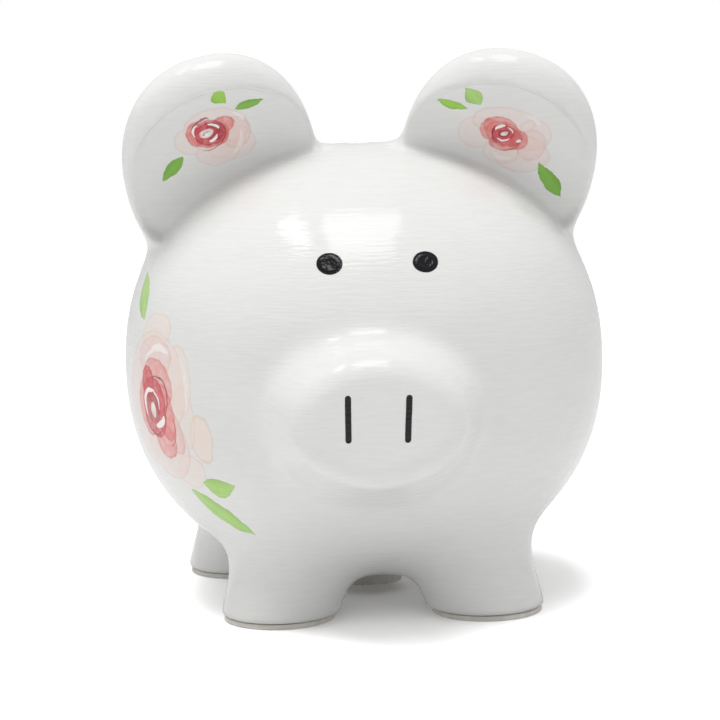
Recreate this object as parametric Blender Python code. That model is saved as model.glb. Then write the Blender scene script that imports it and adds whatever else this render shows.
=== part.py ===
"""A ceramic piggy bank: a hollow slip-cast body, a rubber stopper in its belly and four foot pads.

The pig faces -Y, +Z is up and +X is on the right of someone who looks at its face, and left and
right are as seen from there. The origin is on the table, midway between snout and tail. The pig is
modelled around the middle of its body, and an empty sets all of it back from there.
"""

import math

import bmesh
import bpy
import numpy as np
from mathutils import Matrix, Vector

# Driving dimensions, in metres.
BODY_RADII = (0.0955, 0.1000, 0.0865)  # half the width, length and height of the egg-shaped body
BODY_ROUNDNESS = 2.2  # 2 is a plain ellipsoid, more is a little boxier
BELLY_CLEARANCE = 0.0084  # from the table to the lowest point of the belly
WALL = 0.0055  # thickness of the cast wall
PAD_THICKNESS = 0.0020
FIT_GAP = 0.0003  # between a piece and the one it touches
GLUE_THICKNESS = 0.0007  # between a foot and its pad

SETBACK = 0.0071  # from the origin to the middle of the body
BODY_CENTRE = (0.0, 0.0, BELLY_CLEARANCE + BODY_RADII[2])
FOOT_BOTTOM = PAD_THICKNESS + GLUE_THICKNESS  # height of the ceramic underside of the feet

# The snout is an oval barrel that widens towards the head.
SNOUT_FACE_RADII = (0.0280, 0.0203)
SNOUT_X = -0.0025  # the snout sits slightly to the left
SNOUT_HEIGHT = 0.0827
SNOUT_FACE_Y = -0.1190
SNOUT_ROOT_Y = -0.0700  # inside the head
SNOUT_FLARE = 0.45  # growth in radius for each unit of length
SNOUT_RIM_ROUNDING = 0.0055
SNOUT_FILLET = 0.0070

# Each ear is a thick oval slab with an oval dish cut into its front.
EAR_CENTRE = (0.0532, -0.0300, 0.1726)
EARS_MIDDLE = -0.0014  # the ears sit slightly to the left
EAR_RADII = (0.0376, 0.0165, 0.0455)
EAR_LEAN = math.radians(26)  # the top comes forward
EAR_SPLAY = math.radians(14)  # the top goes outward
EAR_TURN = math.radians(-8)  # the front faces a little inward
DISH_RADII = (0.0380, 1.0, 0.0358)  # an oval that is cut straight in from the front
DISH_FLOOR_Y = -0.0035  # at the middle of the ear
DISH_FLOOR_SLOPE = 0.10  # the floor is deeper towards the head
DISH_EDGE_ROUNDING = 0.0016
DISH_CORNER_ROUNDING = 0.0030  # between its wall and its floor
EAR_FRONT_FILLET = 0.0050  # where the dish meets the head
EAR_FILLET = 0.0180  # round the sides and the back of the ear

# Each leg is a short column that narrows to a neck and splays outward towards its foot.
FOOT_RADIUS = 0.0230
LEG_NECK_RADIUS = 0.0218
LEG_NECK_HEIGHT = 0.0260
LEG_TOP = 0.0600  # inside the body
FRONT_FOOT_X = 0.0399
FRONT_FEET_MIDDLE = 0.0024  # the front legs sit slightly to the right
REAR_FOOT_X = 0.0520
FOOT_Y = 0.0470
LEG_SPLAY = 0.20  # sideways travel for each unit of height
FOOT_ROUNDING = 0.0035
LEG_FILLET = 0.0220
PAD_RADIUS = 0.0213

# The coin slot runs along the top of the back.
SLOT_LENGTH = 0.0400
SLOT_WIDTH = 0.0050
SLOT_CENTRE_Y = 0.0080

# The round plug in the belly: a stem that fills the hole, a flange below it and a pull tab.
HOLE_RADIUS = 0.0140
FLANGE_RADIUS = 0.0165
FLANGE_THICKNESS = 0.0015
STEM_HEIGHT = 0.0095
STEM_TAPER = 0.0012
TAB_SIZE = (0.0030, 0.0130, 0.0030)

# The tail is a flat curl raised from the rump.
TAIL_RADIUS = 0.0034
TAIL_LIFT = 0.0014  # of its centre line above the rump
TAIL_CURL_RADIUS = 0.0125
TAIL_TURNS = 1.35
TAIL_HEIGHT = 0.1052

# Mesh density: the side of a cell of the grid that each cast surface is found on, and the share of
# its triangles that is kept, most of them where the surface bends.
OUTER_CELL = 0.0045
INNER_CELL = 0.0090
KEPT_SHARE = 0.28
ROUND_SIDES = 48

COLOURS = {
    "glaze": ((0.90, 0.90, 0.89, 1.0), 0.12),
    "rubber": ((0.72, 0.71, 0.68, 1.0), 0.55),
    "pad": ((0.62, 0.60, 0.56, 1.0), 0.75),
}


# ---------------------------------------------------------------- distance fields
# Each function takes an array of points and returns how far each is outside the shape.


def blend_union(a, b, width):
    """The union of two fields, with a smooth fillet of about this width."""
    near = np.maximum(width - np.abs(a - b), 0.0) / width
    return np.minimum(a, b) - near**3 * width / 6


def blend_intersection(a, b, width):
    return -blend_union(-a, -b, width)


def egg(points, centre, radii, roundness):
    """A superellipsoid. The value is divided by its gradient, so it is a distance near the surface."""
    scaled = np.maximum(np.abs(points - np.array(centre)) / np.array(radii), 1e-6)
    reach = (scaled**roundness).sum(-1) ** (1 / roundness)
    slope = np.sqrt(((scaled ** (roundness - 1) / np.array(radii)) ** 2).sum(-1)) * reach ** (1 - roundness)
    return (reach - 1) / slope


def snout(points):
    x, y, z = points.T
    grow = SNOUT_FLARE * np.clip(y - SNOUT_FACE_Y, -0.01, 0.06)
    half_width = SNOUT_FACE_RADII[0] - SNOUT_RIM_ROUNDING + grow
    half_height = SNOUT_FACE_RADII[1] - SNOUT_RIM_ROUNDING + grow
    rise = z - SNOUT_HEIGHT
    reach = np.hypot((x - SNOUT_X) / half_width, rise / half_height) + 1e-9
    slope = np.hypot((x - SNOUT_X) / half_width**2, rise / half_height**2) + 1e-9
    side = reach * (reach - 1) / slope / math.hypot(1, SNOUT_FLARE)
    end = np.maximum(SNOUT_FACE_Y + SNOUT_RIM_ROUNDING - y, y - SNOUT_ROOT_Y)
    outside = np.hypot(np.maximum(side, 0), np.maximum(end, 0))
    return np.minimum(np.maximum(side, end), 0) + outside - SNOUT_RIM_ROUNDING


def ears(points):
    """Both ears, as (field, width of the fillet to the head). They are the same on either side."""
    mirrored = points * [1, 1, 1]
    mirrored[:, 0] = np.abs(points[:, 0] - EARS_MIDDLE)
    turn = Matrix.Rotation(EAR_TURN, 3, "Z") @ Matrix.Rotation(EAR_SPLAY, 3, "Y")
    turn = np.array(turn @ Matrix.Rotation(EAR_LEAN, 3, "X"))
    local = (mirrored - np.array(EAR_CENTRE)) @ turn
    slab = egg(local, (0, 0, 0), EAR_RADII, BODY_ROUNDNESS)
    depth = local[:, 1] - DISH_FLOOR_Y + DISH_FLOOR_SLOPE * local[:, 2]
    dish = blend_intersection(egg(local, (0, 0, 0), DISH_RADII, 2.0), depth, DISH_CORNER_ROUNDING)
    behind = np.clip(local[:, 1] / EAR_RADII[1] + 0.6, 0, 1)
    fillet = EAR_FRONT_FILLET + (EAR_FILLET - EAR_FRONT_FILLET) * behind
    return blend_intersection(slab, -dish, DISH_EDGE_ROUNDING), fillet


def leg_pair(points, foot_x, foot_y, middle=0.0):
    """Two legs, splaying out from under the body to feet at foot_x on either side of their middle."""
    height = points[:, 2]
    x = np.abs(points[:, 0] - middle) - foot_x + LEG_SPLAY * height
    y = points[:, 1] - foot_y + math.copysign(LEG_SPLAY / 2, foot_y) * height
    step = np.clip(height / LEG_NECK_HEIGHT, 0, 1)
    radius = FOOT_RADIUS + (LEG_NECK_RADIUS - FOOT_RADIUS) * step**2 * (3 - 2 * step)
    column = np.maximum(np.hypot(x, y) - radius, height - LEG_TOP)
    return blend_intersection(column, FOOT_BOTTOM - height, FOOT_ROUNDING)


def hollow_parts(points):
    """The body, snout and legs, which the slip leaves hollow."""
    field = egg(points, BODY_CENTRE, BODY_RADII, BODY_ROUNDNESS)
    field = blend_union(field, snout(points), SNOUT_FILLET)
    front = leg_pair(points, FRONT_FOOT_X, -FOOT_Y, FRONT_FEET_MIDDLE)
    legs = np.minimum(front, leg_pair(points, REAR_FOOT_X, FOOT_Y))
    return blend_union(field, legs, LEG_FILLET)


def casting(points):
    """The whole outside of the cast body, with its ears."""
    return blend_union(hollow_parts(points), *ears(points))


def cavity(points):
    return hollow_parts(points) + WALL


# ---------------------------------------------------------------- turning a field into a mesh


def settle(field, points, limit):
    """Moves points onto the surface of a field, by no more than limit at each step."""
    nudge = 1e-5
    for _ in range(4):
        value = field(points)
        slope = np.stack(
            [field(points + nudge * axis) - field(points - nudge * axis) for axis in np.eye(3)], -1
        ) / (2 * nudge)
        step = value / np.maximum((slope**2).sum(-1), 0.1)
        points = points - slope * np.clip(step, -limit, limit)[:, None]
    return points


def fill_diagonals(inside):
    """Fills each face of the grid with a checkerboard of inside and outside, where a net would touch itself."""
    changed = True
    while changed:
        changed = False
        for u, v in ((0, 1), (0, 2), (1, 2)):
            marks = np.moveaxis(inside, (u, v), (0, 1))
            corners = marks[:-1, :-1], marks[1:, :-1], marks[:-1, 1:], marks[1:, 1:]
            mixed = (corners[0] == corners[3]) & (corners[1] == corners[2]) & (corners[0] != corners[1])
            changed = changed or mixed.any()
            for corner in corners:
                corner |= mixed


def surface_net(field, low, high, cell):
    """The surface of a field as (points, quads), with one point in each grid cell that it crosses."""
    axes = [np.arange(a, b + cell, cell) for a, b in zip(low, high)]
    grid = np.stack(np.meshgrid(*axes, indexing="ij"), -1)
    inside = (field(grid.reshape(-1, 3)) < 0).reshape(grid.shape[:3])
    fill_diagonals(inside)
    corners = [
        inside[i : i + len(axes[0]) - 1, j : j + len(axes[1]) - 1, k : k + len(axes[2]) - 1]
        for i in (0, 1)
        for j in (0, 1)
        for k in (0, 1)
    ]
    crossed = np.any(corners, axis=0) & ~np.all(corners, axis=0)
    number = np.full(crossed.shape, -1)
    number[crossed] = np.arange(crossed.sum())
    points = grid[:-1, :-1, :-1][crossed] + cell / 2
    quads = []
    for axis in range(3):
        # An edge along this axis whose ends differ is shared by four cells, which make one quad.
        u, v = [a for a in range(3) if a != axis]
        ends = np.moveaxis(inside, axis, 0)
        start, differs = ends[:-1], ends[:-1] != ends[1:]
        at = np.argwhere(differs[:, 1:-1, 1:-1]) + [0, 1, 1]
        cells = []
        for du, dv in ((1, 1), (0, 1), (0, 0), (1, 0)):
            index = np.empty((len(at), 3), int)
            index[:, axis], index[:, u], index[:, v] = at[:, 0], at[:, 1] - du, at[:, 2] - dv
            cells.append(number[tuple(index.T)])
        ring = np.stack(cells, -1)
        leaves = start[tuple(at.T)] == (axis != 1)
        quads.append(np.where(leaves[:, None], ring, ring[:, ::-1]))
    quads = np.concatenate(quads)
    return relax(field, points, quads, cell), quads


def relax(field, points, quads, cell):
    """Evens out the spacing of the points while keeping them on the surface."""
    pairs = np.concatenate([quads[:, [0, 1]], quads[:, [1, 2]], quads[:, [2, 3]], quads[:, [3, 0]]])
    count = np.bincount(pairs.ravel(), minlength=len(points))
    points = settle(field, points, cell / 2)
    for _ in range(3):
        total = np.zeros_like(points)
        np.add.at(total, pairs[:, 0], points[pairs[:, 1]])
        np.add.at(total, pairs[:, 1], points[pairs[:, 0]])
        points = settle(field, (points + total / count[:, None]) / 2, cell / 4)
    return points


# ---------------------------------------------------------------- Blender objects


def make_material(name):
    colour, roughness = COLOURS[name]
    material = bpy.data.materials.new(name)
    material.use_nodes = True
    shader = material.node_tree.nodes["Principled BSDF"]
    shader.inputs["Base Color"].default_value = colour
    shader.inputs["Roughness"].default_value = roughness
    shader.inputs["Metallic"].default_value = 0.0
    return material


def add_object(name, mesh, material=None, place=(0, 0, 0)):
    """Adds an object that belongs to the pig, at a place counted from the foot of its body's middle."""
    thing = bpy.data.objects.new(name, mesh)
    bpy.context.scene.collection.objects.link(thing)
    thing.parent = bpy.data.objects["piggy_bank"]
    thing.location = place
    if material:
        mesh.materials.append(material)
    return thing


def add_helper(name, mesh, place=(0, 0, 0)):
    """A cutter or an addition that only a Boolean uses."""
    helper = add_object(name, mesh, place=place)
    helper.hide_render = True
    helper.display_type = "WIRE"
    return helper


def mesh_from(bm, name):
    bmesh.ops.recalc_face_normals(bm, faces=bm.faces)
    mesh = bpy.data.meshes.new(name)
    bm.to_mesh(mesh)
    bm.free()
    return mesh


def apply_boolean(thing, operation, helper):
    modifier = thing.modifiers.new(f"{operation.lower()} {helper.name}", "BOOLEAN")
    modifier.operation = operation
    modifier.object = helper
    modifier.solver = "EXACT"


def box_mesh(name, size, rounding=0.0):
    """A box, with its four upright edges rounded if asked."""
    bm = bmesh.new()
    bmesh.ops.create_cube(bm, size=1.0)
    bmesh.ops.scale(bm, vec=size, verts=bm.verts)
    if rounding:
        upright = [e for e in bm.edges if abs(e.verts[0].co.z - e.verts[1].co.z) > size[2] / 2]
        bmesh.ops.bevel(bm, geom=upright, offset=rounding, segments=6, affect="EDGES", profile=0.5)
    return mesh_from(bm, name)


def cylinder_mesh(name, radius, depth):
    bm = bmesh.new()
    bmesh.ops.create_cone(
        bm, cap_ends=True, segments=ROUND_SIDES, radius1=radius, radius2=radius, depth=depth
    )
    return mesh_from(bm, name)


def body_depth(axis, across):
    """How far the egg-shaped body reaches along one axis, at these offsets along the other two."""
    others = [radius for i, radius in enumerate(BODY_RADII) if i != axis]
    share = 1 - sum((abs(a) / radius) ** BODY_ROUNDNESS for a, radius in zip(across, others))
    return BODY_RADII[axis] * share ** (1 / BODY_ROUNDNESS)


def tail_points():
    """The centre line of the tail: a spiral that lies on the rump and ends at its tip."""
    steps = 30
    line = []
    for i in range(steps + 1):
        t = i / steps
        radius = TAIL_CURL_RADIUS * (1 - 0.72 * t)
        angle = -math.pi / 2 + 2 * math.pi * TAIL_TURNS * t
        x, z = radius * math.cos(angle), TAIL_HEIGHT + radius * math.sin(angle)
        line.append(Vector((x, body_depth(1, (x, z - BODY_CENTRE[2])) + TAIL_LIFT, z)))
    return line


def make_tail():
    """A bevelled curve, turned into a mesh so that a Boolean can join it to the body."""
    curve = bpy.data.curves.new("tail_line", "CURVE")
    curve.dimensions = "3D"
    curve.bevel_depth = TAIL_RADIUS
    curve.bevel_resolution = 2
    curve.use_fill_caps = True
    line = tail_points()
    spline = curve.splines.new("POLY")
    spline.points.add(len(line) - 1)
    for i, (point, place) in enumerate(zip(spline.points, line)):
        point.co = (*place, 1.0)
        point.radius = 1.0 - 0.45 * i / (len(line) - 1)
    guide = add_helper("tail_guide", curve)
    mesh = bpy.data.meshes.new_from_object(guide)
    bpy.data.objects.remove(guide)
    return add_helper("tail", mesh)


def shell_mesh():
    """The outside and the inside of the casting, as one mesh of two closed surfaces."""
    reach = max(BODY_RADII) + 0.03
    low, high = (-reach, -reach, -0.004), (reach, reach, 0.235)
    outer, outer_quads = surface_net(casting, low, high, OUTER_CELL)
    inner, inner_quads = surface_net(cavity, low, high, INNER_CELL)
    quads = np.concatenate([outer_quads, inner_quads[:, ::-1] + len(outer)])
    mesh = bpy.data.meshes.new("body_shell")
    mesh.from_pydata(np.concatenate([outer, inner]).tolist(), [], quads.tolist())
    mesh.shade_smooth()
    return mesh


def make_body_shell():
    shell = add_object("body_shell", shell_mesh(), make_material("glaze"))
    thin = shell.modifiers.new("thin out", "DECIMATE")
    thin.ratio = KEPT_SHARE
    apply_boolean(shell, "UNION", make_tail())
    slot = box_mesh("slot", (SLOT_WIDTH, SLOT_LENGTH, WALL * 4), SLOT_WIDTH * 0.45)
    top = BODY_CENTRE[2] + BODY_RADII[2]
    apply_boolean(shell, "DIFFERENCE", add_helper("slot_cutter", slot, (0, SLOT_CENTRE_Y, top - WALL)))
    hole = cylinder_mesh("hole", HOLE_RADIUS, WALL * 6)
    apply_boolean(shell, "DIFFERENCE", add_helper("hole_cutter", hole, (0, 0, BELLY_CLEARANCE)))
    return shell


def make_stopper():
    """The plug, its flange pressed up to the belly. Its origin is on the axis it is pulled along."""
    # The flange seats against the rim of the hole, which is lowest at its front and back.
    flange_top = BODY_CENTRE[2] - body_depth(2, (0, HOLE_RADIUS)) - FIT_GAP
    stem_radius = HOLE_RADIUS - FIT_GAP
    profile = [
        (0.0, STEM_HEIGHT),
        (stem_radius - STEM_TAPER, STEM_HEIGHT),
        (stem_radius, STEM_HEIGHT - 2 * STEM_TAPER),
        (stem_radius, 0.0),
        (FLANGE_RADIUS - 0.0006, 0.0),
        (FLANGE_RADIUS, -0.0006),
        (FLANGE_RADIUS - 0.0006, -FLANGE_THICKNESS),
        (0.0, -FLANGE_THICKNESS),
    ]
    mesh = bpy.data.meshes.new("rubber_stopper")
    edges = [(i, i + 1) for i in range(len(profile) - 1)]
    mesh.from_pydata([(radius, 0.0, height) for radius, height in profile], edges, [])
    stopper = add_object("rubber_stopper", mesh, make_material("rubber"), (0, 0, flange_top))
    screw = stopper.modifiers.new("turn", "SCREW")
    screw.steps = screw.render_steps = ROUND_SIDES
    screw.use_merge_vertices = True
    screw.merge_threshold = 0.00005
    tab = box_mesh("tab", TAB_SIZE, TAB_SIZE[0] * 0.3)
    tab_height = flange_top - FLANGE_THICKNESS - TAB_SIZE[2] / 2 + FIT_GAP
    apply_boolean(stopper, "UNION", add_helper("pull_tab", tab, (0, 0, tab_height)))
    return stopper


def make_foot_pad(name, x, y, material):
    disc = cylinder_mesh(name, PAD_RADIUS, PAD_THICKNESS)
    pad = add_object(name, disc, material, (x, y, PAD_THICKNESS / 2))
    edge = pad.modifiers.new("worn edge", "BEVEL")
    edge.width = 0.0004
    edge.segments = 2
    edge.limit_method = "ANGLE"
    return pad


def start_scene():
    """Empties the scene and adds the empty that every piece hangs on."""
    for thing in list(bpy.data.objects):
        bpy.data.objects.remove(thing)
    middle = bpy.data.objects.new("piggy_bank", None)
    bpy.context.scene.collection.objects.link(middle)
    middle.location = (0, SETBACK, 0)


start_scene()
make_body_shell()
make_stopper()
pad_material = make_material("pad")
for end, middle, foot_x, foot_y in (
    ("front", FRONT_FEET_MIDDLE, FRONT_FOOT_X, -FOOT_Y),
    ("rear", 0.0, REAR_FOOT_X, FOOT_Y),
):
    make_foot_pad(f"foot_pad_{end}_left", middle - foot_x, foot_y, pad_material)
    make_foot_pad(f"foot_pad_{end}_right", middle + foot_x, foot_y, pad_material)
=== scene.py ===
"""Looks for the ceramic piggy bank: fine surfaces, hand-painted glaze, floor, light and camera.

The pig is modelled around the upright axis through the middle of its body, as its CAD shell is, and
set in place at the end. Lengths are in metres, except that paint is laid out in millimetres.
"""

import math

import bmesh
import bpy
import numpy as np
from mathutils import Matrix, Vector


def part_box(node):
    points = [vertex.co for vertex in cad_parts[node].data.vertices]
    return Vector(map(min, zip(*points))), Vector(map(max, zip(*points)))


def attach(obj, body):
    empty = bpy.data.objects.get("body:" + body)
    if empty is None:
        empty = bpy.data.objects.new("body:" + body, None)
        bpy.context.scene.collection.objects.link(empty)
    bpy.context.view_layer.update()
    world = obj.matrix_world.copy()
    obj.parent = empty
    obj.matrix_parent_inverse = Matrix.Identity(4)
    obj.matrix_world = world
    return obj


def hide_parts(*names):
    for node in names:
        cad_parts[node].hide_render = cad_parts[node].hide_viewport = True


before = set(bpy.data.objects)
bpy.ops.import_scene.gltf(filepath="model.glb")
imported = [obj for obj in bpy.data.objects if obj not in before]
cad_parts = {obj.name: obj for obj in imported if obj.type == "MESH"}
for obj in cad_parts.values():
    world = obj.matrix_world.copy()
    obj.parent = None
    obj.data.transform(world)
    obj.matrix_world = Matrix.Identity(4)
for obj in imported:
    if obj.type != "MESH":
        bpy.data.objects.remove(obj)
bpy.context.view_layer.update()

# ---------------------------------------------------------------- places taken from the frame

shell_low, shell_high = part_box("body_shell")
plug_low, plug_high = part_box("rubber_stopper")
left_pad_low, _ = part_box("foot_pad_front_left")
front_pad_low, front_pad_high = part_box("foot_pad_front_right")
rear_pad_low, rear_pad_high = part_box("foot_pad_rear_right")

SETBACK = (plug_low.y + plug_high.y) / 2  # from the origin to the middle of the body
FOOT_BOTTOM = shell_low.z
FRONT_FOOT_X = (front_pad_low.x - left_pad_low.x) / 2  # from the middle between the front feet
FRONT_FEET_MIDDLE = (left_pad_low.x + front_pad_high.x) / 2
REAR_FOOT_X = (rear_pad_low.x + rear_pad_high.x) / 2
FOOT_Y = (rear_pad_low.y + rear_pad_high.y) / 2 - SETBACK
SNOUT_FACE_Y = shell_low.y - SETBACK
FLANGE_RADIUS = (plug_high.x - plug_low.x) / 2

# ---------------------------------------------------------------- shape
# These are the sizes of the CAD shell, except that the dish of an ear has softer edges here and the
# rims of the slot and the hole are rounded.

BODY_RADII = (shell_high.x, 0.1000, 0.0865)
BODY_ROUNDNESS = 2.2
BODY_CENTRE = (0.0, 0.0, 0.0949)
WALL = 0.0055

SNOUT_FACE_RADII = (0.0280, 0.0203)
SNOUT_X = -0.0025
SNOUT_HEIGHT = 0.0827
SNOUT_ROOT_Y = -0.0700
SNOUT_FLARE = 0.45
SNOUT_FLARE_SPAN = (-0.010, 0.060)  # where the flare begins and ends, from the face backwards
SNOUT_RIM_ROUNDING = 0.0055
SNOUT_FILLET = 0.0070

EAR_CENTRE = (0.0532, -0.0300, 0.1726)
EARS_MIDDLE = -0.0014  # the ears sit slightly to the left
EAR_RADII = (0.0376, 0.0165, 0.0455)
EAR_LEAN = math.radians(26)  # the top comes forward
EAR_SPLAY = math.radians(14)  # the top goes outward
EAR_TURN = math.radians(-8)  # the front faces a little inward
DISH_RADII = (0.0380, 1.0, 0.0358)  # an oval that is cut straight in from the front
DISH_FLOOR_Y = -0.0035  # at the middle of the ear
DISH_FLOOR_SLOPE = 0.10  # the floor is deeper towards the head
DISH_EDGE_ROUNDING = 0.0030
DISH_CORNER_ROUNDING = 0.0055  # between its wall and its floor
EAR_FRONT_FILLET = 0.0050  # where the dish meets the head
EAR_FILLET = 0.0180  # round the sides and the back of the ear
EAR_FILLET_SHIFT = 0.6  # how far in front of the ear's middle the fillet starts to widen

FOOT_RADIUS = 0.0230
LEG_NECK_RADIUS = 0.0218
LEG_NECK_HEIGHT = 0.0260
LEG_TOP = 0.0600
LEG_SPLAY = 0.20
FOOT_ROUNDING = 0.0035
LEG_FILLET = 0.0220

SLOT_LENGTH = 0.0400
SLOT_WIDTH = 0.0050
SLOT_CENTRE_Y = 0.0080
HOLE_RADIUS = 0.0140
LIP_ROUNDING = 0.0030  # glaze softens the rims of the slot and the hole

TAIL_RADIUS = 0.0034
TAIL_LIFT = 0.0014
TAIL_CURL_RADIUS = 0.0125
TAIL_TURNS = 1.35
TAIL_TIGHTENING = 0.72  # the share of its radius that the curl loses by its end
TAIL_TAPER = 0.45  # the share of its thickness that the tail loses by its end
TAIL_BALLS = 90
TAIL_HEIGHT = 0.1052
TAIL_FILLET = 0.0020

MM = 0.001


# ---------------------------------------------------------------- distance fields
# Each function takes an array of points and returns how far each is outside the shape.


def blend_union(a, b, width):
    """The union of two fields, with a smooth fillet of about this width."""
    near = np.maximum(width - np.abs(a - b), 0.0) / width
    return np.minimum(a, b) - near**3 * width / 6


def blend_intersection(a, b, width):
    return -blend_union(-a, -b, width)


def egg(points, centre, radii, roundness):
    """A superellipsoid. The value is divided by its gradient, so it is a distance near the surface."""
    scaled = np.maximum(np.abs(points - np.array(centre)) / np.array(radii), 1e-6)
    reach = (scaled**roundness).sum(-1) ** (1 / roundness)
    slope = np.sqrt(((scaled ** (roundness - 1) / np.array(radii)) ** 2).sum(-1)) * reach ** (1 - roundness)
    return (reach - 1) / slope


def snout(points):
    x, y, z = points.T
    grow = SNOUT_FLARE * np.clip(y - SNOUT_FACE_Y, *SNOUT_FLARE_SPAN)
    half_width = SNOUT_FACE_RADII[0] - SNOUT_RIM_ROUNDING + grow
    half_height = SNOUT_FACE_RADII[1] - SNOUT_RIM_ROUNDING + grow
    above = z - SNOUT_HEIGHT
    reach = np.hypot((x - SNOUT_X) / half_width, above / half_height) + 1e-9
    slope = np.hypot((x - SNOUT_X) / half_width**2, above / half_height**2) + 1e-9
    side = reach * (reach - 1) / slope / math.hypot(1, SNOUT_FLARE)
    end = np.maximum(SNOUT_FACE_Y + SNOUT_RIM_ROUNDING - y, y - SNOUT_ROOT_Y)
    outside = np.hypot(np.maximum(side, 0), np.maximum(end, 0))
    return np.minimum(np.maximum(side, end), 0) + outside - SNOUT_RIM_ROUNDING


def ear_axes(side):
    """The centre of the ear on this side, and its turn as a matrix. The ear's own -Y is its front."""
    turn = Matrix.Rotation(side * EAR_TURN, 3, "Z") @ Matrix.Rotation(side * EAR_SPLAY, 3, "Y")
    centre = np.array([side * EAR_CENTRE[0], *EAR_CENTRE[1:]])
    return centre, np.array(turn @ Matrix.Rotation(EAR_LEAN, 3, "X"))


def ears(points):
    """Both ears, as (field, width of the fillet to the head). They are the same on either side."""
    mirrored = points.copy()
    mirrored[:, 0] = np.abs(points[:, 0] - EARS_MIDDLE)
    centre, turn = ear_axes(1)
    local = (mirrored - centre) @ turn
    slab = egg(local, (0, 0, 0), EAR_RADII, BODY_ROUNDNESS)
    depth = local[:, 1] - DISH_FLOOR_Y + DISH_FLOOR_SLOPE * local[:, 2]
    dish = blend_intersection(egg(local, (0, 0, 0), DISH_RADII, 2.0), depth, DISH_CORNER_ROUNDING)
    behind = np.clip(local[:, 1] / EAR_RADII[1] + EAR_FILLET_SHIFT, 0, 1)
    fillet = EAR_FRONT_FILLET + (EAR_FILLET - EAR_FRONT_FILLET) * behind
    return blend_intersection(slab, -dish, DISH_EDGE_ROUNDING), fillet


def leg_pair(points, foot_x, foot_y, middle=0.0):
    """Two legs, splaying from under the body to feet at foot_x on either side of their middle.

    They splay half as much forwards or backwards as they do sideways.
    """
    height = points[:, 2]
    x = np.abs(points[:, 0] - middle) - foot_x + LEG_SPLAY * height
    y = points[:, 1] - foot_y + math.copysign(LEG_SPLAY / 2, foot_y) * height
    step = np.clip(height / LEG_NECK_HEIGHT, 0, 1)
    radius = FOOT_RADIUS + (LEG_NECK_RADIUS - FOOT_RADIUS) * step**2 * (3 - 2 * step)
    column = np.maximum(np.hypot(x, y) - radius, height - LEG_TOP)
    return blend_intersection(column, FOOT_BOTTOM - height, FOOT_ROUNDING)


def hollow_parts(points):
    """The body, snout and legs, which the slip leaves hollow."""
    field = egg(points, BODY_CENTRE, BODY_RADII, BODY_ROUNDNESS)
    field = blend_union(field, snout(points), SNOUT_FILLET)
    front = leg_pair(points, FRONT_FOOT_X, -FOOT_Y, FRONT_FEET_MIDDLE)
    legs = np.minimum(front, leg_pair(points, REAR_FOOT_X, FOOT_Y))
    return blend_union(field, legs, LEG_FILLET)


def body_depth(x, z):
    """How far back the egg-shaped body reaches at this place."""
    share = 1 - (abs(x) / BODY_RADII[0]) ** BODY_ROUNDNESS - (abs(z) / BODY_RADII[2]) ** BODY_ROUNDNESS
    return BODY_RADII[1] * share ** (1 / BODY_ROUNDNESS)


def tail(points):
    """A tapering tube along a spiral that lies on the rump, as a row of close balls."""
    share = np.linspace(0, 1, TAIL_BALLS)
    radius = TAIL_CURL_RADIUS * (1 - TAIL_TIGHTENING * share)
    angle = -math.pi / 2 + math.tau * TAIL_TURNS * share
    x, z = radius * np.cos(angle), TAIL_HEIGHT + radius * np.sin(angle)
    y = [body_depth(*place) + TAIL_LIFT for place in zip(x, z - BODY_CENTRE[2])]
    line = np.stack([x, y, z], -1)
    thickness = TAIL_RADIUS * (1 - TAIL_TAPER * share)
    field = np.full(len(points), TAIL_CURL_RADIUS)
    close = (np.abs(points - [0, BODY_RADII[1], TAIL_HEIGHT]) < 2 * TAIL_CURL_RADIUS).all(-1)
    gaps = np.linalg.norm(points[close][:, None] - line, axis=-1) - thickness
    field[close] = gaps.min(-1)
    return field


def casting(points):
    """The whole outside of the cast body, before the slot and the hole are cut."""
    field = blend_union(hollow_parts(points), *ears(points))
    return blend_union(field, tail(points), TAIL_FILLET)


def ceramic(points):
    """The hollow casting, with its coin slot and its belly hole."""
    wall = np.maximum(casting(points), -(hollow_parts(points) + WALL))
    x, y, z = points.T
    straight = SLOT_LENGTH / 2 - SLOT_WIDTH / 2
    slot = np.hypot(x, np.maximum(np.abs(y - SLOT_CENTRE_Y) - straight, 0)) - SLOT_WIDTH / 2
    slot = np.maximum(slot, BODY_CENTRE[2] - z)
    hole = np.maximum(np.hypot(x, y) - HOLE_RADIUS, z - BODY_CENTRE[2])
    return blend_intersection(wall, -np.minimum(slot, hole), LIP_ROUNDING)


# ---------------------------------------------------------------- turning a field into a mesh

NET_CELL = 0.0023
NET_REACH = max(BODY_RADII) + 0.03  # sideways, forwards and backwards
NET_HEIGHTS = (-0.004, 0.235)
SHARP_BEND = math.radians(12)  # the net is made finer where its faces meet at more than this
NUDGE = 1e-6  # over which a field's slope is measured
LEAST_SLOPE = 0.1  # squared. It keeps a point from jumping where a field is almost level.


def settle(field, points, limit, rounds=3):
    """Moves points onto the surface of a field, by no more than limit at each step."""
    for _ in range(rounds):
        value = field(points)
        slope = np.stack([field(points + NUDGE * axis) - value for axis in np.eye(3)], -1) / NUDGE
        step = value / np.maximum((slope**2).sum(-1), LEAST_SLOPE)
        points = points - slope * np.clip(step, -limit, limit)[:, None]
    return points


def fill_diagonals(inside):
    """Fills every grid face whose corners are inside and outside like a checkerboard.

    A net would touch itself there.
    """
    changed = True
    while changed:
        changed = False
        for u, v in ((0, 1), (0, 2), (1, 2)):
            marks = np.moveaxis(inside, (u, v), (0, 1))
            corners = marks[:-1, :-1], marks[1:, :-1], marks[:-1, 1:], marks[1:, 1:]
            mixed = (corners[0] == corners[3]) & (corners[1] == corners[2]) & (corners[0] != corners[1])
            changed = changed or mixed.any()
            for corner in corners:
                corner |= mixed


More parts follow.
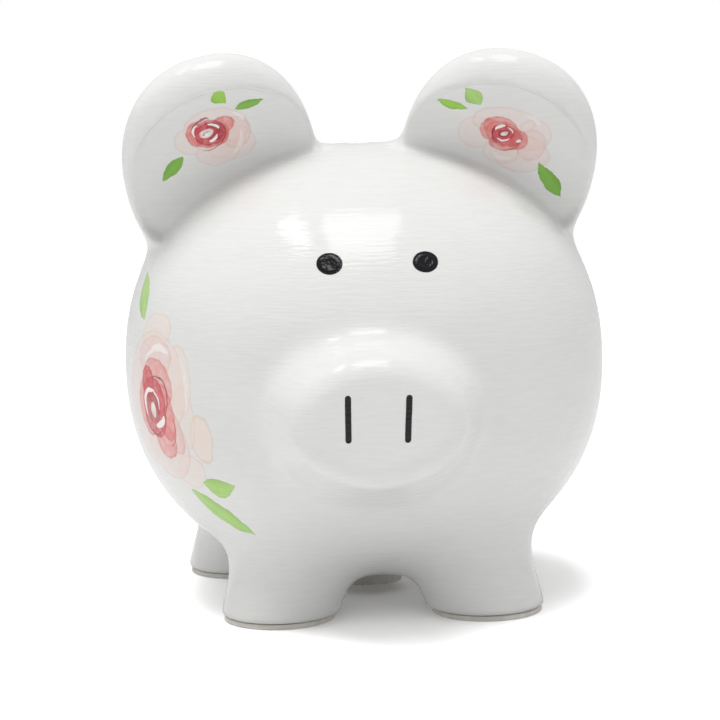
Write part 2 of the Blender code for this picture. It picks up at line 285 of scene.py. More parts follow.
def surface_net(field, low, high, cell):
    """The surface of a field as (points, quads), with one point in each grid cell that it crosses."""
    axes = [np.arange(a, b + cell, cell) for a, b in zip(low, high)]
    grid = np.stack(np.meshgrid(*axes, indexing="ij"), -1)
    inside = np.stack([field(layer.reshape(-1, 3)) < 0 for layer in grid]).reshape(grid.shape[:3])
    fill_diagonals(inside)
    corners = [
        inside[i : i + len(axes[0]) - 1, j : j + len(axes[1]) - 1, k : k + len(axes[2]) - 1]
        for i in (0, 1)
        for j in (0, 1)
        for k in (0, 1)
    ]
    crossed = np.any(corners, axis=0) & ~np.all(corners, axis=0)
    number = np.full(crossed.shape, -1)
    number[crossed] = np.arange(crossed.sum())
    points = grid[:-1, :-1, :-1][crossed] + cell / 2
    quads = []
    for axis in range(3):
        # An edge along this axis whose ends differ is shared by four cells, which make one quad.
        u, v = [a for a in range(3) if a != axis]
        ends = np.moveaxis(inside, axis, 0)
        start, differs = ends[:-1], ends[:-1] != ends[1:]
        at = np.argwhere(differs[:, 1:-1, 1:-1]) + [0, 1, 1]
        cells = []
        for du, dv in ((1, 1), (0, 1), (0, 0), (1, 0)):
            index = np.empty((len(at), 3), int)
            index[:, axis], index[:, u], index[:, v] = at[:, 0], at[:, 1] - du, at[:, 2] - dv
            cells.append(number[tuple(index.T)])
        ring = np.stack(cells, -1)
        leaves = start[tuple(at.T)] == (axis != 1)
        quads.append(np.where(leaves[:, None], ring, ring[:, ::-1]))
    quads = np.concatenate(quads)
    return relax(field, points, quads, cell), quads


def relax(field, points, quads, cell):
    """Evens out the spacing of the points while keeping them on the surface."""
    pairs = np.concatenate([quads[:, [0, 1]], quads[:, [1, 2]], quads[:, [2, 3]], quads[:, [3, 0]]])
    count = np.bincount(pairs.ravel(), minlength=len(points))
    points = settle(field, points, cell / 2)
    for _ in range(3):
        total = np.stack([
            np.bincount(pairs[:, 0], points[pairs[:, 1], axis], len(points))
            + np.bincount(pairs[:, 1], points[pairs[:, 0], axis], len(points))
            for axis in range(3)
        ], -1)
        points = settle(field, (points + total / count[:, None]) / 2, cell / 4, rounds=2)
    return points


def refine(mesh, field, cell):
    """Splits the faces of a mesh where it bends sharply, and settles the new points on the field."""
    bm = bmesh.new()
    bm.from_mesh(mesh)
    bent = [edge for edge in bm.edges if edge.calc_face_angle(0) > SHARP_BEND]
    around = {face for edge in bent for vert in edge.verts for face in vert.link_faces}
    edges = list({edge for face in around for edge in face.edges})
    edges.sort(key=lambda edge: edge.index)
    made = bmesh.ops.subdivide_edges(bm, edges=edges, cuts=1, use_grid_fill=True)["geom_inner"]
    new = sorted((g for g in made if isinstance(g, bmesh.types.BMVert)), key=lambda vert: tuple(vert.co))
    places = settle(field, np.array([vert.co for vert in new], float), cell / 2)
    for vert, place in zip(new, places):
        vert.co = place
    bm.to_mesh(mesh)
    bm.free()


# ---------------------------------------------------------------- formulas inside a material


class Term:
    """A number inside a material. Arithmetic on terms adds Math nodes to the material's tree."""

    def __init__(self, tree, socket):
        self.tree = tree
        self.socket = socket

    def math(self, operation, *others):
        return node_of(self.tree, "ShaderNodeMath", [self, *others], operation=operation)[0]

    def __add__(self, other):
        return self.math("ADD", other)

    def __sub__(self, other):
        return self.math("SUBTRACT", other)

    def __mul__(self, other):
        return self.math("MULTIPLY", other)

    def __truediv__(self, other):
        return self.math("DIVIDE", other)

    def __neg__(self):
        return self * -1

    def __abs__(self):
        return self.math("ABSOLUTE")

    __radd__ = __add__
    __rmul__ = __mul__

    def __rsub__(self, other):
        return -self + other


def node_of(tree, kind, inputs=(), **settings):
    """Adds a node, feeds its inputs (a list, or a dict of names) and returns its outputs as terms."""
    node = tree.nodes.new(kind)
    for name, value in settings.items():
        setattr(node, name, value)
    pairs = inputs.items() if isinstance(inputs, dict) else enumerate(inputs)
    for key, value in pairs:
        if isinstance(value, Term):
            tree.links.new(value.socket, node.inputs[key])
        elif value is not None:
            node.inputs[key].default_value = value
    return [Term(tree, socket) for socket in node.outputs]


def rise(term, start, end):
    """0 before start and 1 after end, with a smooth step between them. start may be above end."""
    inputs = {"Value": term, "From Min": start, "From Max": end}
    return node_of(term.tree, "ShaderNodeMapRange", inputs, interpolation_type="SMOOTHSTEP")[0]


def mix(share, a, b):
    """Colour b over colour a."""
    inputs = {0: share, 6: a, 7: b}
    return node_of(share.tree, "ShaderNodeMix", inputs, data_type="RGBA")[2]


def placed(point, centre, turn, size):
    """The point in the coordinates of something at this centre, turned and sized like this."""
    inputs = {"Vector": point, "Location": centre, "Rotation": turn, "Scale": size}
    return node_of(point.tree, "ShaderNodeMapping", inputs, vector_type="TEXTURE")[0]


def parts_of(vector):
    return node_of(vector.tree, "ShaderNodeSeparateXYZ", [vector])


def vector_of(x, y, z=0.0):
    return node_of(x.tree, "ShaderNodeCombineXYZ", [x, y, z])[0]


def length_of(vector):
    return node_of(vector.tree, "ShaderNodeVectorMath", [vector], operation="LENGTH")[1]


def noise(vector, scale, detail=2.0, roughness=0.5):
    """(value, colour) of a noise pattern."""
    inputs = {"Vector": vector, "Scale": scale, "Detail": detail, "Roughness": roughness}
    return node_of(vector.tree, "ShaderNodeTexNoise", inputs)


def colour(red, green, blue):
    """A colour from screen values of 0 to 255."""
    shares = [value / 255 for value in (red, green, blue)]
    return (*[s / 12.92 if s < 0.04 else ((s + 0.055) / 1.055) ** 2.4 for s in shares], 1.0)


def deeper(paint, share):
    """The same paint with less light: this share of it."""
    return (*[value * share for value in paint[:3]], 1.0)


# ---------------------------------------------------------------- brushwork

WOBBLES = ((0.16, 2.4), (0.9, 0.35))  # (waves to the millimetre, size in mm) of an unsteady brush


class Canvas:
    """A painted area of glaze: its flat coordinates in millimetres, its colour and its relief so far."""

    def __init__(self, flat, ground, unevenness):
        self.point = flat
        for scale, size in WOBBLES:
            inputs = [noise(flat, scale)[1], (0.5, 0.5, 0.5)]
            centred = node_of(flat.tree, "ShaderNodeVectorMath", inputs, operation="SUBTRACT")[0]
            amount = size * unevenness
            inputs = [centred, (amount, amount, 0), self.point]
            self.point = node_of(flat.tree, "ShaderNodeVectorMath", inputs, operation="MULTIPLY_ADD")[0]
        self.colour = ground
        self.relief = None
        self.wash = rise(noise(flat, 0.35, 3.0)[0], 0.25, 0.7) * 0.45 + 0.55

    def cover(self, share, paint):
        self.colour = mix(share, self.colour, paint)

    def placed(self, centre, degrees, size):
        return placed(self.point, (*centre, 0), (0, 0, math.radians(degrees)), (*size, 1))

    def petal(self, centre, radii, degrees, paint, strength):
        """An oval wash, stronger along its rim, as thin paint dries."""
        outside = (length_of(self.placed(centre, degrees, radii)) - 1) * min(radii)
        self.cover(rise(outside, 0.25, -0.25) * self.wash * strength, paint)
        self.cover(rise(abs(outside + 0.35), 0.5, 0.1) * self.wash * (0.55 * strength), deeper(paint, 0.72))

    def stroke(self, centre, radii, degrees, sweep, width, paint, strength=1.0):
        """A curved stroke along an oval, from this direction and counterclockwise, thin at both ends."""
        local = self.placed(centre, degrees, radii)
        x, y, _ = parts_of(local)
        along = (y.math("ARCTAN2", x) * (1 / math.tau)).math("FRACT") * (360 / sweep)
        half = (along * (1 - along) * 4).math("MAXIMUM", 0).math("SQRT") * (width / 2)
        inside = half - abs(length_of(local) - 1) * min(radii)
        self.cover(rise(inside, 0.0, 0.22) * strength, paint)

    def leaf(self, base, tip, width, lean, bend, paint):
        """A leaf of one or two brush strokes. It is fuller near its tip where lean is positive."""
        middle = [(a + b) / 2 for a, b in zip(base, tip)]
        length = math.dist(base, tip)
        degrees = math.degrees(math.atan2(tip[1] - base[1], tip[0] - base[0]))
        x, y, _ = parts_of(self.placed(middle, degrees, (length / 2, width / 2)))
        swell = (1 - x * x).math("MAXIMUM", 0)
        side = y - swell * bend
        inside = (swell * (x * lean + 1) - abs(side)) * (width / 2)
        streaks = noise(vector_of(x * 0.6, side * 2.4), 2.0, 3.0)[0]
        shade = mix(rise(streaks, 0.3, 0.7), deeper(paint, 0.86), paint)
        shade = mix(rise(side, 0.0, 1.0), shade, deeper(paint, 0.76))
        self.cover(rise(inside, 0.0, 0.25), deeper(paint, 0.58))
        self.cover(rise(inside, 0.12, 0.5) * 0.92, shade)

    def ink(self, outside):
        """Thick black paint that stands proud of the glaze and dried dished, with a wrinkled skin."""
        share = rise(outside, 0.12, -0.12)
        self.cover(share, INK)
        wrinkles = noise(self.point, 0.6, 2.0)[0] * rise(outside, -0.6, -1.6)
        dish = rise(outside, -EYE_RADIUS, 0.0) * 0.8  # deepest at the middle of an eye
        self.relief = share * (wrinkles + dish + 0.3)


# ---------------------------------------------------------------- decoration
# Each painting is laid out in millimetres: the ears and the flank from the heart of their rose, and
# the face from the foot of the body's middle.

PEACH = colour(243, 223, 210)
PALE_PINK = colour(240, 217, 210)
PINK = colour(236, 192, 186)
CORAL = colour(232, 134, 130)
RED = colour(206, 74, 84)
DEEP_RED = colour(146, 44, 56)
WHITE = colour(250, 246, 242)
INK = colour(12, 12, 16)
LEAF = colour(168, 220, 92)
DARK_LEAF = colour(140, 198, 84)
BRIGHT_LEAF = colour(184, 226, 132)

EYES = (((-17.2, 136.9), (4.6, 3.8)), ((17.1, 136.7), (4.6, 3.7)))  # centre and radii of each
EYE_RADIUS = 4.0  # on average
NOSTRILS = (((-13.7, 84.7), 0.010), ((7.1, 84.3), 0.055))  # centre and lean of each
NOSTRIL_HALF_LENGTH = 7.2
NOSTRIL_HALF_WIDTH = 1.05


def paint_left_ear(canvas):
    for centre, radii, turn, strength in (
        ((3.9, 1.1), (12.2, 8.8), -5, 0.55),
        ((-5.1, -2.1), (7.2, 6.2), 0, 0.45),
        ((8.5, -5.9), (9.8, 7.4), -5, 0.50),
        ((3.2, -8.9), (8.4, 5.8), 0, 0.50),
    ):
        canvas.petal(centre, radii, turn, PALE_PINK, strength)
    canvas.petal((11.1, -2.0), (5.8, 6.8), 0, PINK, 0.35)
    canvas.stroke((4.5, -2.0), (9.5, 8.0), -65, 70, 1.6, WHITE, 0.45)
    canvas.stroke((4.5, 1.0), (9.8, 6.4), 10, 45, 1.5, WHITE, 0.45)
    canvas.petal((6.6, 2.0), (4.4, 3.6), 0, CORAL, 0.9)
    canvas.petal((1.4, -0.6), (7.6, 5.8), -8, CORAL, 1.0)
    canvas.petal((-3.9, 0.0), (3.4, 5.0), 0, CORAL, 0.9)
    canvas.petal((1.6, -0.7), (6.3, 4.9), -6, RED, 1.0)
    canvas.petal((3.6, 0.4), (3.6, 4.2), 10, DEEP_RED, 0.55)
    canvas.stroke((-1.4, 2.6), (4.2, 2.6), 40, 140, 0.9, DEEP_RED, 0.8)
    canvas.stroke((1.5, -1.0), (7.0, 5.6), -130, 120, 0.7, DEEP_RED, 0.6)
    canvas.stroke((0.4, -0.1), (5.3, 4.0), -20, 320, 0.5, DEEP_RED, 0.5)
    canvas.petal((0.0, -0.3), (2.5, 1.9), 0, WHITE, 1.0)
    canvas.stroke((0.0, -0.1), (1.0, 0.5), 30, 250, 0.6, DEEP_RED, 0.8)
    canvas.stroke((1.0, 0.4), (3.7, 3.0), 5, 90, 1.3, WHITE)
    canvas.stroke((1.4, 0.0), (4.0, 3.0), -95, 75, 1.3, WHITE)
    canvas.stroke((-1.2, 0.0), (4.0, 3.4), 112, 90, 0.9, WHITE)
    canvas.leaf((8.8, 10.8), (5.0, 16.6), 6.2, 0.55, 0.1, LEAF)
    canvas.leaf((11.5, 7.9), (23.0, 9.3), 3.8, -0.1, 0.0, DARK_LEAF)
    canvas.leaf((-18.4, -17.4), (-9.7, -8.2), 5.4, 0.15, 0.1, DARK_LEAF)


def paint_right_ear(canvas):
    for centre, radii, turn, strength in (
        ((-10.2, -1.1), (6.4, 6.9), 0, 0.45),
        ((-0.5, 5.0), (11.8, 6.3), 3, 0.50),
        ((11.4, 0.8), (6.4, 7.0), 0, 0.50),
        ((8.1, -7.8), (10.6, 8.0), 4, 0.55),
        ((0.4, -8.0), (7.0, 5.2), 0, 0.45),
    ):
        canvas.petal(centre, radii, turn, PALE_PINK, strength)
    canvas.petal((11.0, -3.5), (5.6, 6.6), 0, PINK, 0.35)
    canvas.stroke((5.0, 1.5), (8.6, 6.4), 25, 60, 1.5, WHITE, 0.45)
    canvas.stroke((3.0, -6.0), (6.0, 4.4), -160, 90, 1.7, WHITE, 0.45)
    canvas.petal((-5.0, 0.8), (3.8, 4.4), 10, CORAL, 0.8)
    canvas.petal((-1.4, 2.6), (6.4, 3.9), -4, CORAL, 0.8)
    canvas.petal((5.4, -1.8), (4.6, 4.2), -25, CORAL, 0.8)
    canvas.petal((1.2, -3.6), (6.0, 3.8), 0, CORAL, 0.8)
    canvas.petal((0.5, -0.4), (7.2, 5.2), -16, CORAL, 0.85)
    canvas.petal((1.6, -1.0), (5.6, 4.2), -14, RED, 0.6)
    canvas.petal((-0.2, -0.1), (4.3, 3.7), 0, RED, 0.85)
    canvas.stroke((-0.2, -0.2), (4.2, 3.6), 60, 220, 0.8, DEEP_RED, 0.8)
    canvas.stroke((2.6, -1.2), (6.6, 4.6), -120, 150, 0.7, DEEP_RED, 0.5)
    canvas.petal((0.3, -0.1), (2.0, 1.7), 0, DEEP_RED, 0.7)
    canvas.petal((0.4, -0.1), (1.2, 1.0), 0, WHITE, 1.0)
    canvas.stroke((-0.6, 0.0), (3.4, 2.5), 75, 85, 1.3, WHITE)
    canvas.stroke((0.2, 0.2), (3.0, 2.6), 0, 75, 0.8, WHITE)
    canvas.stroke((0.4, -0.4), (2.9, 2.9), -140, 110, 0.9, WHITE)
    # Painted reflection: this short white dash below the rose is a glint of light on the glaze, drawn in
    # white paint.
    canvas.stroke((5.7, -8.2), (6.0, 3.0), 75, 35, 1.0, WHITE, 0.9)
    canvas.leaf((-14.1, 7.9), (-26.7, 10.3), 3.6, 0.1, 0.0, LEAF)
    canvas.leaf((-9.9, 10.6), (-16.8, 17.4), 6.0, -0.45, 0.0, BRIGHT_LEAF)
    canvas.leaf((14.8, -9.9), (25.7, -23.9), 6.4, 0.2, -0.1, DARK_LEAF)


def paint_flank(canvas):
    canvas.petal((2.1, 25.0), (10.5, 6.4), 5, PEACH, 0.55)
    canvas.petal((26.0, -11.0), (5.6, 8.6), 0, PEACH, 0.75)
    canvas.petal((15.8, -23.9), (9.0, 6.4), 20, PEACH, 0.55)
    canvas.petal((17.6, 9.0), (6.2, 12.5), 6, PEACH, 0.45)
    canvas.petal((18.4, -4.0), (6.0, 11.0), 0, PEACH, 0.45)
    canvas.petal((0.5, 6.0), (21.0, 19.0), 0, PALE_PINK, 0.50)
    canvas.petal((-12.0, -4.0), (13.5, 19.0), 0, PALE_PINK, 0.45)
    canvas.petal((4.0, -15.0), (15.0, 13.0), 20, PALE_PINK, 0.60)
    canvas.petal((1.4, 16.0), (12.0, 7.2), 0, PINK, 0.35)
    canvas.stroke((2.5, 8.0), (13.0, 10.0), 45, 95, 2.2, WHITE, 0.7)
    canvas.stroke((4.0, 4.0), (17.0, 19.0), -20, 60, 1.6, WHITE, 0.45)
    canvas.petal((10.8, -9.0), (5.8, 9.0), 25, PINK, 0.7)
    canvas.petal((2.6, 6.0), (11.0, 9.6), -10, CORAL, 0.70)
    canvas.petal((4.7, -13.0), (7.0, 7.0), 20, CORAL, 0.75)
    canvas.petal((-6.0, -2.0), (6.8, 10.5), 0, CORAL, 0.75)
    canvas.petal((7.2, -3.0), (6.0, 10.0), 10, CORAL, 0.80)
    canvas.petal((-3.2, 7.2), (5.0, 5.6), 30, RED, 0.85)
    canvas.petal((0.0, -1.6), (9.0, 10.8), 0, RED, 0.85)
    canvas.stroke((2.0, 1.0), (8.0, 8.8), -40, 150, 0.9, DEEP_RED, 0.8)
    canvas.stroke((0.0, -2.0), (8.0, 9.6), 150, 160, 0.9, DEEP_RED, 0.7)
    canvas.stroke((5.0, -8.0), (7.5, 8.0), -70, 100, 0.8, RED, 0.8)
    canvas.petal((-0.6, -1.8), (5.0, 5.6), 0, DEEP_RED, 0.45)
    canvas.petal((-0.2, -2.4), (2.0, 2.8), 10, WHITE, 1.0)
    canvas.stroke((-0.6, -1.6), (6.0, 6.4), 65, 150, 1.8, WHITE)
    canvas.stroke((-0.6, -1.6), (4.9, 5.6), -10, 90, 1.2, WHITE, 0.9)
    canvas.stroke((0.6, -2.4), (5.6, 6.4), -100, 85, 2.4, WHITE)
    canvas.leaf((-9.2, 28.7), (-23.0, 46.2), 9.6, -0.3, -0.1, BRIGHT_LEAF)
    canvas.leaf((20.0, -27.4), (36.9, -26.7), 8.0, -0.2, -0.55, BRIGHT_LEAF)
    canvas.leaf((10.3, -31.3), (37.1, -49.1), 8.4, -0.25, -0.25, BRIGHT_LEAF)


def paint_face(canvas):
    """Two black eyes above the snout and two long black nostrils on its flat end."""
    left_eye, right_eye = (length_of(canvas.placed(centre, 0, radii)) for centre, radii in EYES)
    outside = (left_eye.math("MINIMUM", right_eye) - 1) * EYE_RADIUS
    for centre, lean in NOSTRILS:
        across, up, _ = parts_of(canvas.placed(centre, 0, (1, 1)))
        over = (abs(up) - NOSTRIL_HALF_LENGTH).math("MAXIMUM", 0)
        nostril = length_of(vector_of(across - up * lean, over)) - NOSTRIL_HALF_WIDTH
        outside = outside.math("MINIMUM", nostril)
    canvas.ink(outside)


# ---------------------------------------------------------------- flat coordinates for painting

EAR_PAINT_CENTRE = (0.0540, -0.0160, 0.1692)
EAR_PAINT_LEAN = math.radians(22)
EAR_PAINT_TURN = math.radians(4)  # outward, about both its other axes
EAR_ROSE_PLACES = {-1: (-2.9, 25.7), 1: (-3.8, 21.7)}

FLANK_ROSE_BEARING = math.radians(56.7)  # from straight ahead, towards the left flank
FLANK_ROSE_RISE = math.radians(-5.5)
FLANK_RADIUS = 0.092  # of the flank's curve, from its lowest to its highest part


def flat_front(point):
    x, _, z = parts_of(point)
    return vector_of(x / MM, z / MM)


def flat_ear(side):
    """Coordinates in a plane close to the front of an ear, from the heart of its rose."""

    def flatten(point):
        centre = (side * EAR_PAINT_CENTRE[0], *EAR_PAINT_CENTRE[1:])
        turn = (EAR_PAINT_LEAN, side * EAR_PAINT_TURN, side * EAR_PAINT_TURN)
        x, _, z = parts_of(placed(point, centre, turn, (MM, MM, MM)))
        return vector_of(x - EAR_ROSE_PLACES[side][0], z - EAR_ROSE_PLACES[side][1])

    return flatten


def flat_flank(point):
    """Coordinates around the flank, as arc lengths from the heart of its rose."""
    x, y, z = parts_of(placed(point, BODY_CENTRE, (0, 0, 0), (1, 1, 1)))
    bearing = (-x).math("ARCTAN2", -y)
    level = (x * x + y * y).math("SQRT")
    height = z.math("ARCTAN2", level)
    across = (FLANK_ROSE_BEARING - bearing) * (BODY_RADII[0] / MM)
    return vector_of(across, (height - FLANK_ROSE_RISE) * (FLANK_RADIUS / MM))


# ---------------------------------------------------------------- materials

GLAZE_SHADES = (colour(228, 228, 226), colour(233, 233, 232))
BRUSH_STROKE = (0.009, 0.009, 0.0009)  # length and height of the marks that the brush left
BRUSH_DEPTH = 0.00013
WAVE_DEPTH = 0.0006  # of the slow waves under the brush marks
INK_DEPTH = 0.00035
GLAZE_ROUGHNESS = 0.055
BRUSH_ROUGHNESS = 0.05  # what the brush marks add to it
GLAZE_IOR = 1.43


def new_material(name):
    material = bpy.data.materials.new(name)
    material.use_nodes = True
    tree = material.node_tree
    point = node_of(tree, "ShaderNodeTexCoord")[3]
    return material, tree, point


def finish_material(material, inputs):
    shader = material.node_tree.nodes["Principled BSDF"]
    for name, value in inputs.items():
        if isinstance(value, Term):
            material.node_tree.links.new(value.socket, shader.inputs[name])
        else:
            shader.inputs[name].default_value = value
    return material


def bump(height, distance, normal=None):
    inputs = {"Strength": 1.0, "Distance": distance, "Height": height, "Normal": normal}
    return node_of(height.tree, "ShaderNodeBump", inputs)[0]


def glaze(name, flatten=None, paint=None, unevenness=1.0):
    """White gloss glaze, brushed on in fine level strokes over a surface that waves a little."""
    material, tree, point = new_material(name)
    strokes = noise(placed(point, (0, 0, 0), (0, 0, 0), BRUSH_STROKE), 1.0, 2.5)[0]
    tone = rise(noise(point, 14.0, 2.0)[0], 0.3, 0.7) * 0.5 + rise(strokes, 0.35, 0.65) * 0.5
    ground = mix(tone, *GLAZE_SHADES)
    if paint:
        canvas = Canvas(flatten(point), ground, unevenness)
        paint(canvas)
        ground = canvas.colour
    normal = bump(strokes, BRUSH_DEPTH, bump(noise(point, 38.0, 1.0)[0], WAVE_DEPTH))
    if paint and canvas.relief:
        normal = bump(canvas.relief, INK_DEPTH, normal)
    return finish_material(material, {
        "Base Color": ground,
        "Roughness": rise(strokes, 0.3, 0.7) * BRUSH_ROUGHNESS + GLAZE_ROUGHNESS,
        "IOR": GLAZE_IOR,
        "Normal": normal,
    })


def bare_clay():
    """Fired clay without glaze, inside the bank and under its feet."""
    material, tree, point = new_material("bare_clay")
    grain = noise(point, 900.0, 4.0, 0.7)[0]
    stain = noise(point, 30.0, 3.0)[0]
    ground = mix(rise(stain, 0.3, 0.7), colour(226, 221, 211), colour(236, 232, 224))
    ground = mix(rise(grain, 0.66, 0.72) * 0.35, ground, colour(186, 176, 160))
    return finish_material(material, {
        "Base Color": ground,
        "Roughness": 0.85,
        "Normal": bump(grain, 0.00012),
    })


def rubber(name, light, dark, grain_size, shine):
    """Moulded rubber: a fine skin grain, patches of dust and a slightly uneven shine."""
    material, tree, point = new_material(name)
    grain = noise(point, 1 / grain_size, 3.0, 0.6)[0]
    dust = rise(noise(point, 120.0, 4.0)[0], 0.35, 0.7)
    return finish_material(material, {
        "Base Color": mix(dust, dark, light),
        "Roughness": dust * 0.2 + shine,
        "Normal": bump(grain, grain_size * 0.12),
    })


# ---------------------------------------------------------------- pieces


def add_piece(name, mesh, place, body, node):
    """Adds a piece at a place counted from the foot of the body's middle, in place of this CAD node."""
    piece = bpy.data.objects.new(name, mesh)
    bpy.context.scene.collection.objects.link(piece)
    piece.location = Vector(place) + Vector((0, SETBACK, 0))
    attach(piece, body)
    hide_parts(node)


# ---------------------------------------------------------------- ceramic

PLAIN, CLAY, FACE, LEFT_EAR, RIGHT_EAR, FLANK = range(6)  # the order of the ceramic's materials

FACE_HALF_WIDTH = 0.032  # of the area that holds the eyes and the nostrils
FACE_BACK = -0.075
FACE_HEIGHTS = (0.069, 0.147)
FLANK_ROSE_REACH = math.radians(42)
EAR_SKIN = 0.001  # a face this close to an ear's surface belongs to the ear
BODY_SKIN = 0.003
UNGLAZED_DEPTH = 0.45 * WALL  # anything deeper than this is inside the bank
UNGLAZED_FOOT = 0.0006  # the height of the bare ring under a foot

# A face is turned forwards, to an ear's front or down where its normal's share is below these.
FORWARDS = -0.2
EARWARDS = -0.45
DOWNWARDS = -0.5


def painted_areas(centres, normals):
    """The material of each face of the ceramic. Where nothing is painted, it is plain glaze or clay."""
    index = np.full(len(centres), PLAIN)
    x, y, z = centres.T
    on_face = (np.abs(x) < FACE_HALF_WIDTH) & (y < FACE_BACK) & (z > FACE_HEIGHTS[0]) & (z < FACE_HEIGHTS[1])
    index[on_face & (normals[:, 1] < FORWARDS)] = FACE
    on_ear = np.abs(ears(centres)[0]) < EAR_SKIN
    for number, side in ((LEFT_EAR, -1), (RIGHT_EAR, 1)):
        in_front = (normals @ ear_axes(side)[1])[:, 1] < EARWARDS
        index[on_ear & in_front & (side * x > 0)] = number
    outward = centres - np.array(BODY_CENTRE)
    bearing = np.arctan2(-outward[:, 0], -outward[:, 1])
    elevation = np.arctan2(outward[:, 2], np.hypot(outward[:, 0], outward[:, 1]))
    from_rose = np.hypot(bearing - FLANK_ROSE_BEARING, elevation - FLANK_ROSE_RISE)
    on_body = np.abs(egg(centres, BODY_CENTRE, BODY_RADII, BODY_ROUNDNESS)) < BODY_SKIN
    index[(from_rose < FLANK_ROSE_REACH) & on_body & (index == PLAIN)] = FLANK
    under_foot = (z < FOOT_BOTTOM + UNGLAZED_FOOT) & (normals[:, 2] < DOWNWARDS)
    index[(casting(centres) < -UNGLAZED_DEPTH) | under_foot] = CLAY
    return index


def make_ceramic():
    """The glazed casting, with a material for each painted area."""
    low, high = [(side * NET_REACH, side * NET_REACH, z) for side, z in zip((-1, 1), NET_HEIGHTS)]
    points, quads = surface_net(ceramic, low, high, NET_CELL)
    mesh = bpy.data.meshes.new("ceramic_body")
    mesh.from_pydata(points.tolist(), [], quads.tolist())
    refine(mesh, ceramic, NET_CELL)
    mesh.shade_smooth()
    for material in (
        glaze("white_glaze"),
        bare_clay(),
        glaze("painted_face", flat_front, paint_face, 0.12),
        glaze("painted_left_ear", flat_ear(-1), paint_left_ear),
        glaze("painted_right_ear", flat_ear(1), paint_right_ear),
        glaze("painted_flank", flat_flank, paint_flank),
    ):
        mesh.materials.append(material)
    centres = np.array([face.center for face in mesh.polygons], float)
    normals = np.array([face.normal for face in mesh.polygons], float)
    mesh.polygons.foreach_set("material_index", painted_areas(centres, normals).astype(np.int32))
    add_piece("ceramic_body", mesh, (0, 0, 0), "bank", "body_shell")


# ---------------------------------------------------------------- stopper

PLUG_TOP = plug_high.z  # the stem's upper end, inside the bank
PLUG_LENGTH = plug_high.z - plug_low.z  # with its pull tab
STEM_HEIGHT = 0.0095  # above the flange
STEM_RADIUS = HOLE_RADIUS - 0.0003
FLANGE_THICKNESS = 0.0015
RIB_SPACING = 0.0024  # of the grooves that help the stem to grip
RIB_DEPTH = 0.0005
STEM_BEVEL = 0.0010  # how far in the bevel at its top reaches
STEM_BEVEL_SLOPE = 0.8
STEM_WALL = 0.0035
WELL_FLOOR = 0.0012  # the thickness of rubber between the stem's well and the flange
DIMPLE_RADIUS = 0.0110  # of the shallow hollow in the underside of the flange
DIMPLE_DEPTH = 0.0005
FLANGE_ROUNDING = 0.0012
STEM_ROUNDING = 0.0010
SEAT_ROUNDING = 0.0008  # where the stem meets the flange, and round its dimple
TAB_HALF_SIZE = (0.0015, 0.0065)  # thickness and width
TAB_FILLET = 0.0016
PLUG_CELL = 0.0007


def plug(points):
    """A hollow ribbed stem, a flange under it with a dimple, and a rounded pull tab below that."""
    x, y, z = points.T
    z = z - PLUG_TOP
    radius = np.hypot(x, y)
    seat = -STEM_HEIGHT
    ribs = RIB_DEPTH * (0.5 - 0.5 * np.cos(math.tau * (z - seat) / RIB_SPACING))
    stem = np.maximum(radius - STEM_RADIUS + ribs, z)
    bevel = radius - STEM_RADIUS + STEM_BEVEL + z * STEM_BEVEL_SLOPE
    stem = blend_intersection(stem, bevel, STEM_ROUNDING)
    well = np.maximum(radius - STEM_RADIUS + STEM_WALL, seat + WELL_FLOOR - z)
    stem = blend_intersection(stem, -well, STEM_ROUNDING)
    middle = seat - FLANGE_THICKNESS / 2
    rim = radius - FLANGE_RADIUS
    flange = blend_intersection(rim, np.abs(z - middle) - FLANGE_THICKNESS / 2, FLANGE_ROUNDING)
    underside = seat - FLANGE_THICKNESS
    dimple = np.hypot(np.maximum(radius - DIMPLE_RADIUS, 0), z - underside) - DIMPLE_DEPTH
    flange = blend_intersection(flange, -dimple, SEAT_ROUNDING)
    rounding = TAB_HALF_SIZE[0]
    along = np.maximum(np.abs(y) - TAB_HALF_SIZE[1] + rounding, 0)
    drop = np.maximum(-PLUG_LENGTH + rounding - z, 0)
    tab = np.maximum(np.sqrt(x**2 + along**2 + drop**2) - rounding, z - middle)
    return blend_union(blend_union(stem, flange, SEAT_ROUNDING), tab, TAB_FILLET)


def make_stopper():
    """A soft plug in the belly hole, made as one moulding."""
    margin = 2 * PLUG_CELL
    reach = FLANGE_RADIUS + margin
    low, high = (-reach, -reach, PLUG_TOP - PLUG_LENGTH - margin), (reach, reach, PLUG_TOP + margin)
    points, quads = surface_net(plug, low, high, PLUG_CELL)
    mesh = bpy.data.meshes.new("belly_stopper")
    mesh.from_pydata(points.tolist(), [], quads.tolist())
    mesh.shade_smooth()
    finish = rubber("stopper_rubber", colour(206, 204, 198), colour(186, 183, 176), 0.0004, 0.45)
    mesh.materials.append(finish)
    add_piece("belly_stopper", mesh, (0, 0, 0), "stopper", "rubber_stopper")


# ---------------------------------------------------------------- foot pads

PAD_EDGE = 0.0006  # the rounding of a pad's edges
TURNED_SIDES = 128
CORNER_STEPS = 6


